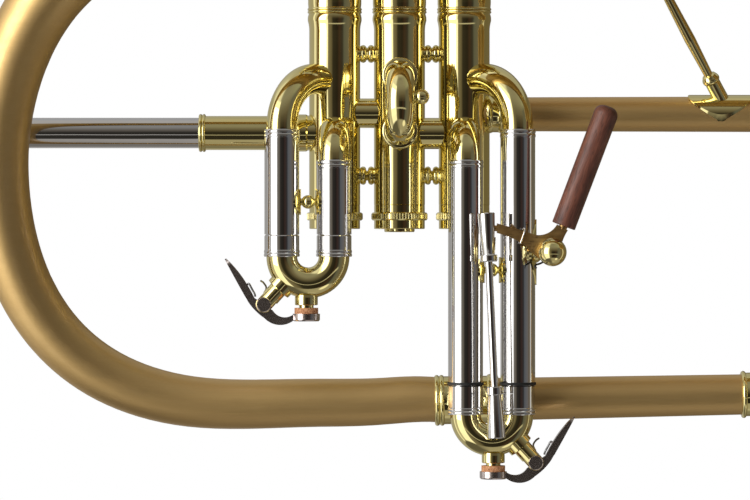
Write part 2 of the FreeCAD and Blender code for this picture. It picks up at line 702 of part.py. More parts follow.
def mouthpiece_receiver():
    """The socket that the mouthpiece's shank goes into, with beads at its mouth."""
    length = RECEIVER_START - RECEIVER_END
    seat = length - RECEIVER_BORE_LENGTH
    bore = RECEIVER_BORE_R
    outline = [(-4, MOUTHPIPE_R + 0.02), (-4, 6.7), (-3.2, 7.4, -2.4, 6.8), (0, 6.8), (seat, 7.1),
               (length - 7, 7.4), (length - 6, 8.3, length - 5, 7.6), (length - 3, 7.6),
               (length - 1.6, 8.8, length, 7.9), (length, bore), (seat, bore), (seat, 4.4),
               (0, MOUTHPIPE_R - 0.9), (0, MOUTHPIPE_R + 0.02)]
    return turned(outline, V(RECEIVER_START, 0, INLET_Z), -X_AXIS)


# ---------------------------------------------------------------- main tubing
def lower_axis(x):
    return V(x, LOWER_Y, LOWER_Z + LOWER_SLOPE * (x - LOWER_X))


def exit_tube():
    piece = cone_tube(V(VALVE_SPACING + 6, 0, OUTLET_Z), V(FRONT_X, 0, OUTLET_Z), EXIT_START_R,
                      EXIT_END_R)
    return piece.cut(casing_block(VALVE_SPACING))


def front_bow():
    """The forward bow: a half circle down from the exit tube, and a short straight tail."""
    low = lower_axis(FRONT_X)
    radius = (OUTLET_Z - low.z) / 2
    centre_z = (OUTLET_Z + low.z) / 2
    tilt = LOWER_Y / (2 * radius)
    stations = []
    steps = 16
    for step in range(steps + 1):
        angle = math.pi * step / steps
        z = radius * math.cos(angle)
        centre = V(FRONT_X + radius * math.sin(angle), (radius - z) * tilt, centre_z + z)
        direction = V(math.cos(angle), math.sin(angle) * tilt, -math.sin(angle)).normalize()
        size = EXIT_END_R + (LOWER_FRONT_R - EXIT_END_R) * step / steps
        stations.append((centre, direction, Y_AXIS, size))
    tail_way = V(-1, 0, -LOWER_SLOPE).normalize()
    stations.append((lower_axis(FRONT_JOINT_X), tail_way, Y_AXIS, LOWER_FRONT_R))
    return lofted_tube(stations)


def lower_tube():
    return cone_tube(lower_axis(JOINT_START + 3), lower_axis(FRONT_JOINT_X), LOWER_JOINT_R,
                     LOWER_FRONT_R)


def joint_ferrule():
    """The beaded ferrule that joins the lower tube to the back bow."""
    start = lower_axis(JOINT_START)
    length = (lower_axis(JOINT_END) - start).Length
    outline = [(0, BOW_START_R + 0.15), (0, 9.2), (0.9, 9.75, 1.8, 9.2), (2.7, 9.75, 3.6, 9.2),
               (length - 4.4, 9.1), (length - 3.4, 9.7, length - 2.4, 9.0), (length - 1.4, 9.6, length, 8.7),
               (length, LOWER_JOINT_R + 0.02), (3, LOWER_JOINT_R + 0.02), (3, BOW_START_R + 0.15)]
    return turned(outline, start, lower_axis(JOINT_END) - start)


def tube_ferrules():
    """Ferrules at the third valve's exit and at both ends of the front bow."""
    at_exit = turned([(33.4, 6.62), (33.4, 6.95), (34.6, 7.3, 35.8, 6.95), (38.0, 6.95),
                      (38.9, 7.3, 39.8, 6.75), (39.8, 6.62)], V(0, 0, OUTLET_Z), X_AXIS)
    made = [at_exit.cut(casing_block(VALVE_SPACING))]
    low = lower_axis(FRONT_JOINT_X)
    along = V(1, 0, LOWER_SLOPE).normalize()
    for middle, axis, radius in ((V(FRONT_X, 0, OUTLET_Z), X_AXIS, EXIT_END_R),
                                 (low, along, LOWER_FRONT_R + 0.05)):
        inner = radius + 0.03
        outer = radius + 0.6
        ring = [(-7, inner), (-7, outer), (-6.1, outer + 0.7, -5.2, outer), (-1.5, outer),
                (-0.6, outer + 0.7, 0.3, outer), (0.3, inner)]
        made.append(turned(ring, middle, axis))
    return made


def bezier(points, part):
    """A point and a direction on a cubic Bezier curve."""
    a, b, c, d = points
    rest = 1 - part
    place = a * rest ** 3 + b * (3 * rest * rest * part) + c * (3 * rest * part * part) + d * part ** 3
    slope = (b - a) * (rest * rest) + (c - b) * (2 * rest * part) + (d - c) * (part * part)
    return place, slope.normalize()


def bow_curve():
    """The back bow's two quarters, each a cubic curve that leaves the tube's line smoothly."""
    low = lower_axis(BOW_END_X)
    low.y = 0
    lower = (low, low - V(88, 0, 88 * LOWER_SLOPE), V(BOW_LEFT_X, 0, BOW_MID_Z - 22),
             V(BOW_LEFT_X, 0, BOW_MID_Z))
    upper = (V(BOW_LEFT_X, 0, BOW_MID_Z), V(BOW_LEFT_X, 0, BOW_MID_Z + 22),
             V(BOW_END_X - 84, 0, BELL_Z), V(BOW_END_X, 0, BELL_Z))
    return lower, upper


def back_bow():
    """The back bow: a straight tail in the joint ferrule, then the turn up to the bell."""
    steps = 12
    flat = []
    for quarter in bow_curve():
        flat += [bezier(quarter, step / steps) for step in range(steps + 1)]
    del flat[steps]
    tilt = (BELL_Y - LOWER_Y) / (BELL_Z - flat[0][0].z)
    side = V(0, 1, -tilt).normalize()
    total = sum((flat[i + 1][0] - flat[i][0]).Length for i in range(len(flat) - 1))
    tail = lower_axis(JOINT_START + 2.9)
    along = (lower_axis(JOINT_END) - tail).normalize()
    stations = []
    for share in (0.0, 0.33, 0.66):
        centre = tail + (lower_axis(BOW_END_X) - tail) * share
        stations.append((centre, -along, side, BOW_START_R + (BOW_LOW_R - BOW_START_R) * share))
    gone = 0.0
    for index, (place, slope) in enumerate(flat):
        if index:
            gone += (place - flat[index - 1][0]).Length
        share = gone / total
        size = BOW_LOW_R + BOW_GROWTH[0] * share + BOW_GROWTH[1] * share * share
        centre = V(place.x, LOWER_Y + (place.z - flat[0][0].z) * tilt, place.z)
        direction = V(slope.x, slope.z * tilt, slope.z).normalize()
        stations.append((centre, direction, side, size))
    return lofted_tube(stations)


def bell_radius(back):
    """The bell's outer radius at a distance back from its rim."""
    length = BELL_RIM_X - BOW_END_X
    power = math.log(BELL_THROAT_R / BELL_RIM_R) / math.log(BELL_FLARE / (length + BELL_FLARE))
    return BELL_RIM_R * (BELL_FLARE / (back + BELL_FLARE)) ** power


def bell():
    """The bell, spun from the bow's end to its rolled rim."""
    length = BELL_RIM_X - BOW_END_X
    steps = 14
    outside = []
    inside = []
    for step in range(steps + 1):
        back = length * (1 - step / steps) ** 1.8
        outside.append(V(bell_radius(back), 0, length - back))
        inside.append(V(bell_radius(back) - WALL - 0.1, 0, length - back))
    outer = Part.BSplineCurve()
    outer.interpolate(outside)
    inner = Part.BSplineCurve()
    inner.interpolate(inside)
    bead_top = V(BELL_RIM_R + 0.6, 0, length + RIM_BEAD_R)
    edges = [outer.toShape(), Part.Arc(outside[-1], bead_top, inside[-1]).toShape(), inner.toShape(),
             Part.makeLine(inside[0], outside[0])]
    face = Part.Face(Part.Wire(edges))
    shape = face.revolve(V(0, 0, 0), Z_AXIS, 360)
    rim = Part.makeTorus(BELL_RIM_R - RIM_BEAD_R, RIM_BEAD_R, V(0, 0, length + 0.2))
    shape = shape.fuse(rim)
    return placed(shape, V(BOW_END_X, BELL_Y, BELL_Z), X_AXIS)


def bell_block():
    """The outside of the bell's tail, to cut what is soldered onto it."""
    length = BELL_RIM_X - BOW_END_X
    steps = 20
    outline = [V(0, 0, 0)]
    for step in range(steps + 1):
        along = (length - 60) * step / steps
        outline.append(V(bell_radius(length - along), 0, along))
    outline.append(V(0, 0, length - 60))
    outline.append(outline[0])
    face = Part.Face(Part.makePolygon(outline))
    shape = face.revolve(V(0, 0, 0), Z_AXIS, 360)
    return placed(shape, V(BOW_END_X, BELL_Y, BELL_Z), X_AXIS)


BELL_BLOCK = bell_block()


def long_brace():
    """The slanting stay from an oval plate on the exit tube up to the bell."""
    foot = V(STAY_FOOT_X, 0, OUTLET_Z)
    head = V(STAY_HEAD_X, BELL_Y, BELL_Z)
    way = (head - foot).normalize()
    reach = (head - foot).Length - bell_radius(BELL_RIM_X - STAY_HEAD_X)
    outline = [(3, 0), (3, 3.0), (15.0, 2.9), (16.2, 3.4, 17.4, 3.0), (18.2, 2.6), (18.6, 1.7),
               (reach * 0.5, 2.15), (reach - 11.0, 1.7), (reach - 10.6, 2.6),
               (reach - 9.4, 3.4, reach - 8.2, 3.0), (reach + 4, 3.2), (reach + 4, 0)]
    stay = turned(outline, foot, way)
    saddle = Part.makeCylinder(EXIT_END_R + PLATE_THICK, 2 * PLATE_LENGTH + 2,
                               V(PLATE_X - PLATE_LENGTH - 1, 0, OUTLET_Z), X_AXIS)
    ellipse = Part.Ellipse(V(0, 0, 0), PLATE_LENGTH, PLATE_WIDTH).toShape()
    oval = Part.Face(Part.Wire(ellipse)).extrude(V(0, 0, 30))
    side_up = V(0, way.y, way.z).normalize()
    oval.Placement = FreeCAD.Placement(V(PLATE_X, 0, OUTLET_Z),
                                       FreeCAD.Rotation(X_AXIS, V(0, 0, 0), side_up, "ZXY"))
    top = turned([(reach - 2.2, 0), (reach - 2.2, 3.2), (reach - 1.2, 5.4), (reach + 7, 5.8),
                  (reach + 7, 0)], foot, way)
    whole = joined(stay, saddle.common(oval), top)
    tube_end = Part.makeCylinder(EXIT_END_R + 0.01, 60, V(PLATE_X - 30, 0, OUTLET_Z), X_AXIS)
    pieces = whole.cut(tube_end).cut(BELL_BLOCK).Solids
    return max(pieces, key=lambda piece: piece.Volume)


def bell_braces():
    """The long stay, and a short spool from each outer casing to the bell."""
    made = [long_brace()]
    for x in (VALVE_X[0], VALVE_X[2]):
        piece = spool(V(x, -8, 76), V(x, -20, 76), 4.2, 2.3)
        piece = piece.cut(casing_block(x, CASING_TOP_R + 0.01)).cut(BELL_BLOCK)
        made.append(piece)
    return made


def finger_hook():
    """The little-finger hook on top of the bell's tail."""
    x = 56.0
    top = BELL_Z + bell_radius(BELL_RIM_X - x)
    y = BELL_Y + 4
    foot = turned([(-3, 0), (-3, 6.0), (0.3, 5.6), (1.6, 2.2), (1.6, 0)], V(x, y, top), Z_AXIS)
    points = [V(x, y, top - 0.5), V(x, y, top + 24), V(x - 22, y, top + 24), V(x - 22, y, top + 6)]
    hook = swept(points, [11, 11], 1.9)
    tip = Part.makeSphere(1.9, points[-1])
    return joined(foot, hook, tip).cut(BELL_BLOCK)


# ---------------------------------------------------------------- third-slide lever
def trigger_post():
    """A pointed leaf on the outer leg, the boss that carries the lever's pin, and its spring drum."""
    leg_x = leg_xs(1)[1]
    height = 2 * LEAF_HALF
    shell = Part.makeCylinder(LEG_OUTER_R + LEAF_THICK, height, V(leg_x, LEG_Y, PIVOT.z - LEAF_HALF))
    outline = [Part.Arc(V(0, -LEAF_HALF, 0), V(LEAF_WIDTH, 0, 0), V(0, LEAF_HALF, 0)).toShape(),
               Part.Arc(V(0, LEAF_HALF, 0), V(-LEAF_WIDTH, 0, 0), V(0, -LEAF_HALF, 0)).toShape()]
    leaf = Part.Face(Part.Wire(outline)).extrude(V(0, 0, 20))
    leaf.Placement = FreeCAD.Placement(V(leg_x, LEG_Y, PIVOT.z),
                                       FreeCAD.Rotation(V(0, 0, 0), Z_AXIS, X_AXIS, "ZYX"))
    neck = turned([(LEG_OUTER_R - 1, 0), (LEG_OUTER_R - 1, 4.2), (LEG_OUTER_R + 1.0, 3.9),
                   (LEG_OUTER_R + 2.2, 2.8), (12.4, 2.8), (12.4, 0)], V(leg_x, LEG_Y, PIVOT.z), X_AXIS)
    back = PIVOT.y + LEVER_THICK / 2 + 0.2
    boss = rod(V(PIVOT.x, LEG_Y + 3.0, PIVOT.z), V(PIVOT.x, back, PIVOT.z), 3.4)
    drum = turned([(1.5, 0), (1.5, 1.5), (4.6, 1.5), (5.0, 2.1), (6.0, 2.3, 7.0, 1.7), (7.4, 1.2),
                   (8.2, 1.2), (8.4, 2.3), (9.2, 2.3), (9.4, 1.6), (9.4, 0)],
                  V(PIVOT.x, back + 2.35, PIVOT.z), -X_AXIS)
    post = joined(shell.common(leaf), neck, boss, drum)
    post = post.cut(Part.makeCylinder(LEG_OUTER_R, height + 20, V(leg_x, LEG_Y, PIVOT.z - LEAF_HALF - 10)))
    return post.cut(rod(V(PIVOT.x, LEG_Y - 3, PIVOT.z), V(PIVOT.x, PIVOT.y, PIVOT.z), PIN_R + 0.01))


def trigger_screw():
    """The shoulder screw that the lever turns on, with a ball for its head."""
    front = PIVOT.y - LEVER_THICK / 2 - 0.2
    pin = rod(V(PIVOT.x, LEG_Y - 3, PIVOT.z), V(PIVOT.x, front - 1, PIVOT.z), PIN_R)
    ball = Part.makeSphere(HEAD_R, V(PIVOT.x, front - HEAD_R + 0.9, PIVOT.z))
    ball = ball.cut(Part.makeBox(20, 10, 20, V(PIVOT.x - 10, front, PIVOT.z - 10)))
    return joined(pin, ball)


def lever_outline():
    """The lever's side view: a broad curved arm, a round hub and the tang under the grip."""
    return [(36.4, -42.2), (41.8, -44.0, 47.6, -47.2), (50.6, -50.6, 54.4, -52.7),
            (57.4, -53.7, 60.0, -51.6), (60.6, -46.6, 63.0, -41.2), (59.0, -39.0),
            (54.6, -42.6, 50.4, -42.8), (43.6, -40.6, 36.4, -38.6)]


def trigger_lever():
    plate = slab(lever_outline(), V(0, PIVOT.y, 0), LEVER_THICK / 2)
    hub = rod(PIVOT - Y_AXIS * LEVER_THICK / 2, PIVOT + Y_AXIS * LEVER_THICK / 2, HUB_R)
    neck = rod(LEVER_BALL, V(37.0, PIVOT.y, -40.5), 1.1)
    ball = Part.makeSphere(BALL_R, LEVER_BALL)
    way = (GRIP_TOP - GRIP_FOOT).normalize()
    tang = rod(GRIP_FOOT - way * 1.5, GRIP_FOOT + way * (TANG_LENGTH - 0.1), TANG_R)
    over = rod(GRIP_FOOT - way * 0.01, GRIP_FOOT + way * 3, GRIP_R)
    lever = joined(plate.cut(over), hub, neck, ball, tang)
    return lever.cut(rod(PIVOT - Y_AXIS * 8, PIVOT + Y_AXIS * 8, PIN_R + GAP))


def trigger_grip():
    """The turned wooden grip, rounded at its top and drilled for the lever's tang."""
    way = GRIP_TOP - GRIP_FOOT
    length = way.Length
    outline = [(0, TANG_R + 0.01), (0, GRIP_R - 0.4), (0.1, GRIP_R - 0.1, 0.4, GRIP_R),
               (length - 3.0, GRIP_R + 0.05), (length - 0.9, GRIP_R - 1.0, length, GRIP_R - 3.1),
               (length, 0), (TANG_LENGTH, 0), (TANG_LENGTH, TANG_R + 0.01)]
    return turned(outline, GRIP_FOOT, way)


def trigger_spring():
    """The coil spring round the boss, with one end on the post's foot."""
    spring = coil(4.05, 1.15, 5, SPRING_WIRE_R)
    spring.Placement = FreeCAD.Placement(V(PIVOT.x, PIVOT.y + LEVER_THICK / 2 + 7.6, PIVOT.z),
                                         FreeCAD.Rotation(Z_AXIS, -Y_AXIS))
    return spring


def link_way():
    return (LEVER_BALL - LOWER_BALL).normalize()


def link_cup(ball, way, slot_way, ends, slot_reach):
    """One ball cup that swells to its open end, with a slot for the neck of its ball."""
    mouth, shoulder = ends
    middle = (mouth + shoulder) / 2
    outline = [(shoulder, 0), (shoulder, CUP_WAIST_R), (middle, CUP_R - 0.3, mouth - 0.3, CUP_R),
               (mouth, CUP_R - 0.25), (mouth, SOCKET_R), (-SOCKET_R, SOCKET_R), (-SOCKET_R, 0)]
    cup = turned(outline, ball, way)
    width = 2 * BALL_R
    slot = Part.makeBox(6, width, slot_reach + mouth + 1, V(0, -width / 2, -slot_reach))
    slot.Placement = FreeCAD.Placement(ball, FreeCAD.Rotation(slot_way, V(0, 0, 0), way, "ZXY"))
    return cup.cut(slot)


def link_cups():
    return [link_cup(LEVER_BALL, link_way(), X_AXIS, CUP_ENDS, 3.6),
            link_cup(LOWER_BALL, -link_way(), Y_AXIS, LOWER_CUP_ENDS, 2.0)]


def link_rod():
    start = LOWER_BALL + link_way() * (NUT_SPLIT - LOWER_CUP_ENDS[1])
    return rod(start, LEVER_BALL + link_way() * (CUP_ENDS[1] - NUT_SPLIT), ROD_R)


def link_nuts():
    """The lock nut under the upper cup and the one above the lower cup."""
    made = []
    for end, shoulder, way, (radius, height) in (
            (LEVER_BALL, CUP_ENDS[1], link_way(), UPPER_NUT),
            (LOWER_BALL, LOWER_CUP_ENDS[1], -link_way(), LOWER_NUT)):
        low = shoulder - NUT_SPLIT - height
        high = shoulder - NUT_SPLIT
        outline = [(low, ROD_R + 0.02), (low, radius - 0.5), (low + 0.15, radius - 0.15, low + 0.5, radius),
                   (high - 0.5, radius), (high - 0.15, radius - 0.15, high, radius - 0.5),
                   (high, ROD_R + 0.02)]
        made.append(turned(outline, end, way))
    return made


def slide3_ball_stud():
    """The stud in the third bow's crotch, with the ball that the link's lower cup holds."""
    x = LOWER_BALL.x
    z = LOWER_BALL.z
    stem = rod(V(x, LEG_Y + 2.5, z), V(x, LEG_Y - 7.0, z), 2.2)
    neck = rod(V(x, LEG_Y - 7.0, z), LOWER_BALL, 1.1)
    ball = Part.makeSphere(BALL_R, LOWER_BALL)
    return joined(stem, neck, ball).cut(bow_block(1, SLIDE3_BOW_Z))


# ---------------------------------------------------------------- writing the parts
def write_valves():
    for index in range(3):
        number = str(index + 1)
        save("valve_casing_" + number, valve_casing(index))
        save("piston_" + number, piston(index))
        save("piston_spring_" + number, piston_spring(index))
        save("valve_stem_" + number, valve_stem(index))
        save("finger_button_" + number, finger_button(index))
    save("top_caps", *[top_cap(index) for index in range(3)])
    save("bottom_caps", *[bottom_cap(index) for index in range(3)])
    save("valve_knuckles", *knuckles())
    save("casing_braces", *casing_braces())


def write_slides():
    save("slide_elbows", *slide_elbows(-1), *slide_elbows(1))
    save("slide_outer_tubes", *slide_outer_tubes(-1, SLIDE1_SPLIT), *slide_outer_tubes(1, SLIDE3_SPLIT))
    save("slide_braces", slide_brace(-1, SLIDE1_BRACE_Z), slide_brace(1, SLIDE3_BRACE_Z))
    save("slide1_legs", *slide_legs(-1, SLIDE1_SPLIT, SLIDE1_BOW_Z, 0.0))
    save("slide1_bow", slide_bow(-1, SLIDE1_BOW_Z))
    save("slide3_legs", *slide_legs(1, SLIDE3_SPLIT, SLIDE3_BOW_Z, BUMPER_H))
    save("slide3_bow", slide_bow(1, SLIDE3_BOW_Z))
    save("slide3_bumpers", *slide3_bumpers())
    save("slide2_stubs", *slide2_stubs())
    save("slide2_crook", slide2_crook())
    save("slide2_knob", slide2_knob())
    for number, side, bow_z in (("1", -1, SLIDE1_BOW_Z), ("3", 1, SLIDE3_BOW_Z)):
        key = WaterKey(side, bow_z)
        save("water_key_" + number + "_saddle", *key.saddle())
        save("water_key_" + number + "_screw", key.screw())
        save("water_key_" + number + "_lever", key.lever())
        save("water_key_" + number + "_cork", key.cork())


def write_tubing():
    save("mouthpipe_sleeve", mouthpipe_sleeve())
    save("mouthpipe_tube", mouthpipe_tube())
    save("mouthpiece_receiver", mouthpiece_receiver())
    save("exit_tube", exit_tube())
    save("front_bow", front_bow())
    save("lower_tube", lower_tube())
    save("tube_ferrules", *tube_ferrules())
    bow = back_bow()
    save("back_bow", bow)
    save("joint_ferrule", joint_ferrule().cut(bow))
    save("bell", bell())
    save("bell_braces", *bell_braces())
    save("finger_hook", finger_hook())


def write_trigger():
    save("trigger_post", trigger_post())
    save("trigger_screw", trigger_screw())
    save("trigger_lever", trigger_lever())
    save("trigger_grip", trigger_grip())
    save("trigger_spring", trigger_spring())
    save("link_cups", *link_cups())
    save("link_rod", link_rod())
    save("link_nuts", *link_nuts())
    save("slide3_ball_stud", slide3_ball_stud())


write_valves()
write_slides()
write_tubing()
write_trigger()
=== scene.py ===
"""Looks, light and camera for the flugelhorn, in the CAD model's frame.

Lengths are in metres, but those of the small added pieces are in mm.
"""
import json
import math

import bpy
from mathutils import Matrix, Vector


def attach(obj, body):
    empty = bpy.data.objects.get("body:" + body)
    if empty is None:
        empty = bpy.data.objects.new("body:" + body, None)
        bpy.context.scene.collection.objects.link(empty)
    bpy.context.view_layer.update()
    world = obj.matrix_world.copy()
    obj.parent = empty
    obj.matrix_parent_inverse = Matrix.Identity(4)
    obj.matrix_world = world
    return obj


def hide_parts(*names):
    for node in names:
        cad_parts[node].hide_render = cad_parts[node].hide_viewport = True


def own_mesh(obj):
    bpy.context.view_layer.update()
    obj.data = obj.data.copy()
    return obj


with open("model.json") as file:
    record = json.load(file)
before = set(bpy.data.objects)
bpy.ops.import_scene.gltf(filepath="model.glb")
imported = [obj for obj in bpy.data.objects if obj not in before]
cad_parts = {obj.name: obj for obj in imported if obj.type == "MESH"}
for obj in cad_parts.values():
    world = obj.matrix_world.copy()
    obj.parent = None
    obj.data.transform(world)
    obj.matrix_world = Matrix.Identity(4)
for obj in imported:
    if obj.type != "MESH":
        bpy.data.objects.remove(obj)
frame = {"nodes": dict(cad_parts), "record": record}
NODES = frame["nodes"]
SCENE = bpy.context.scene
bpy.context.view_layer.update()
MM = 0.001

CAMERA_DISTANCE = 1.5
VIEW_WIDTH = 0.28846                           # width seen at the valves' plane
SENSOR = 36.0                                  # in mm
CAMERA_AIM = Vector((-0.0094, 0.0, -0.0486))

FLOOR_Z = -0.36
FLOOR_RADIUS = 2.6
KEY_LIGHT_PLACE = (-1.3, -0.95, 0.25)
KEY_LIGHT_AIM = (0.0, 0.0, -0.03)
KEY_LIGHT_SIZE = (0.9, 1.3)
KEY_LIGHT_POWER = 14.0
CAMERA_BACKGROUND = (1.0, 1.0, 1.0)            # what the camera sees behind the object
BACKDROP = (0.44, 0.43, 0.41)                  # what the metal sees behind it, on the left
WARM_SIDE = (0.17, 0.145, 0.095)               # and on the right
OVERHEAD = (0.50, 0.48, 0.45)
TABLE_EDGE = (0.62, 0.60, 0.56)
SOFTBOX = (1.45, 1.45, 1.40)
SECOND_LAMP = (0.4157, -0.4157, -0.8090)       # 45 degrees to the right, 54 down
SECOND_LAMP_COLOUR = (1.1, 1.08, 1.0)
SECOND_LAMP_EDGE = (0.985, 0.992)              # cosines of the angles where it begins and is full

BRASS = (0.85, 0.75, 0.37)
BRASS_TINT = (0.79, 0.68, 0.30)
NICKEL = (0.74, 0.73, 0.72)
NICKEL_TINT = (0.66, 0.65, 0.65)
WORN_NICKEL = (0.66, 0.60, 0.58)
WORN_NICKEL_TINT = (0.56, 0.48, 0.47)
SATIN = (0.80, 0.55, 0.23)
SATIN_TINT = (0.68, 0.45, 0.18)
GRIP_TILT = math.radians(20.7)
EDGE_ANGLE = math.radians(50.0)                # a sharper edge is broken
SMOOTH_ANGLE = math.radians(38.0)              # a sharper edge of an added piece stays sharp

# sizes in mm
KEY_EDGE = 0.45                                # taken off the edges of the water keys
LEVER_EDGE = 0.35                              # and of the trigger lever
VALVE_X = (-24.9, 0.0, 24.9)
LEG_PLANE = -22.6
# for each water key: its side, its slide's body, its own body, its pin's X and Z
KEY_PINS = ((-1, "first_slide", "first_water_key", -51.4, -69.25),
            (1, "third_slide", "third_water_key", 51.4, -129.0))
KEY_WIRE = 0.36                                # radii of the wires
KEY_COIL_R = 2.0
KEY_COIL_SETBACK = 3.9                         # behind the legs' plane
CLIP_WIRE = 0.38
CLIP_STAND = 1.9                               # in front of the legs' plane
SPRING_FOOT = -39.2
SPRING_HEAD = -12.9
SPRING_R = 5.6
SPRING_TURNS = 7
SPRING_WIRE = 0.45


# ---------------------------------------------------------------- camera
def make_camera():
    """A long lens, set level, that looks along +Y."""
    data = bpy.data.cameras.new("camera")
    data.sensor_width = SENSOR
    data.lens = SENSOR * CAMERA_DISTANCE / VIEW_WIDTH
    data.clip_start = 0.05
    data.clip_end = 50.0
    camera = bpy.data.objects.new("camera", data)
    SCENE.collection.objects.link(camera)
    camera.location = CAMERA_AIM - Vector((0.0, CAMERA_DISTANCE, 0.0))
    camera.rotation_euler = (math.radians(90.0), 0.0, 0.0)
    SCENE.camera = camera


make_camera()


# ---------------------------------------------------------------- node helpers
class Graph:
    """A short way to write shader nodes."""

    def __init__(self, tree):
        self.tree = tree

    def node(self, kind, inputs=None, **settings):
        made = self.tree.nodes.new(kind)
        for name, value in settings.items():
            setattr(made, name, value)
        for name, value in (inputs or {}).items():
            socket = made.inputs[name]
            if isinstance(value, bpy.types.NodeSocket):
                self.tree.links.new(value, socket)
            else:
                socket.default_value = value
        return made

    def math(self, operation, first, second=0.0):
        return self.node("ShaderNodeMath", {0: first, 1: second}, operation=operation).outputs[0]

    def ramp(self, value, stops):
        """A colour ramp; a stop is a place with a colour, or with one number for a grey."""
        made = self.node("ShaderNodeValToRGB", {"Fac": value})
        ramp = made.color_ramp
        while len(ramp.elements) < len(stops):
            ramp.elements.new(0.5)
        for element, (place, colour) in zip(ramp.elements, stops):
            element.position = place
            rgb = colour if isinstance(colour, tuple) else (colour, colour, colour)
            element.color = (*rgb, 1.0)
        return made.outputs["Color"]

    def mix(self, share, first, second, blend="MIX"):
        """A share of the second colour over the first; its sockets go by identifier."""
        made = self.node("ShaderNodeMix", data_type="RGBA", blend_type=blend)
        for name, value in (("Factor_Float", share), ("A_Color", first), ("B_Color", second)):
            socket = next(s for s in made.inputs if s.identifier == name)
            if isinstance(value, bpy.types.NodeSocket):
                self.tree.links.new(value, socket)
            else:
                socket.default_value = (*value, 1.0) if isinstance(value, tuple) else value
        return next(s for s in made.outputs if s.identifier == "Result_Color")

    def noise(self, vector, scale, detail=3.0, roughness=0.5):
        made = self.node("ShaderNodeTexNoise", {"Vector": vector, "Scale": scale, "Detail": detail,
                                                "Roughness": roughness})
        return made.outputs["Fac"]

    def stretched(self, vector, scale):
        return self.node("ShaderNodeVectorMath", {0: vector, 1: scale}, operation="MULTIPLY").outputs[0]

    def bump(self, height, distance, strength=1.0):
        return self.node("ShaderNodeBump", {"Height": height, "Distance": distance,
                                            "Strength": strength}).outputs["Normal"]


def new_material(name):
    """A material with one principled shader, and the graph to add to it."""
    material = bpy.data.materials.new(name)
    material.use_nodes = True
    material.node_tree.nodes.clear()
    graph = Graph(material.node_tree)
    shader = graph.node("ShaderNodeBsdfPrincipled")
    output = graph.node("ShaderNodeOutputMaterial")
    graph.tree.links.new(shader.outputs[0], output.inputs["Surface"])
    return material, graph, shader


def set_inputs(graph, shader, values):
    """Link or set a shader's inputs by name; three numbers are a colour."""
    for name, value in values.items():
        socket = shader.inputs[name]
        if isinstance(value, bpy.types.NodeSocket):
            graph.tree.links.new(value, socket)
        elif isinstance(value, tuple):
            socket.default_value = (*value, 1.0)
        else:
            socket.default_value = value


def place_vector(graph):
    """The place on the object, in metres, so that every grain is at its real size."""
    return graph.node("ShaderNodeTexCoord").outputs["Object"]


# ---------------------------------------------------------------- materials
def polished_metal(name, base, tint, low_rough, high_rough, draw=(1.0, 1.0, 1.0), wobble=0.00006):
    """A buffed metal: faint drawing lines, soft waviness and a slight drift of colour."""
    material, graph, shader = new_material(name)
    place = place_vector(graph)
    drift = graph.noise(place, 55.0, 3.0)
    colour = graph.mix(drift, base, tint)
    smear = graph.noise(graph.stretched(place, draw), 900.0, 4.0, 0.6)
    patches = graph.noise(place, 130.0, 2.0)
    blend = graph.math("ADD", graph.math("MULTIPLY", smear, 0.5), graph.math("MULTIPLY", patches, 0.5))
    rough = graph.node("ShaderNodeMapRange", {0: blend, 1: 0.3, 2: 0.7, 3: low_rough, 4: high_rough})
    wave = graph.noise(place, 90.0, 1.0)
    normal = graph.bump(wave, wobble)
    set_inputs(graph, shader, {"Base Color": colour, "Metallic": 1.0, "Roughness": rough.outputs[0],
                               "Normal": normal})
    return material


def satin_metal(name, base, tint, rough_low, rough_high, along):
    """Scratch-brushed brass: fine streaks that run along one axis, under a thin clear lacquer."""
    material, graph, shader = new_material(name)
    place = place_vector(graph)
    streaks = tuple(60.0 if axis else 2600.0 for axis in along)
    patches = tuple(12.0 if axis else 300.0 for axis in along)
    fine = graph.noise(graph.stretched(place, streaks), 1.0, 5.0, 0.7)
    broad = graph.noise(graph.stretched(place, patches), 1.0, 3.0)
    colour = graph.mix(broad, base, tint)
    dark = tuple(0.72 * channel for channel in base)
    colour = graph.mix(graph.math("MULTIPLY", fine, 0.5), colour, dark)
    blend = graph.math("ADD", graph.math("MULTIPLY", fine, 0.65), graph.math("MULTIPLY", broad, 0.35))
    rough = graph.node("ShaderNodeMapRange", {0: blend, 1: 0.3, 2: 0.7, 3: rough_low, 4: rough_high})
    normal = graph.bump(fine, 0.00003, 0.7)
    set_inputs(graph, shader, {"Base Color": colour, "Metallic": 1.0, "Roughness": rough.outputs[0],
                               "Normal": normal, "Coat Weight": 0.25, "Coat Roughness": 0.12})
    return material


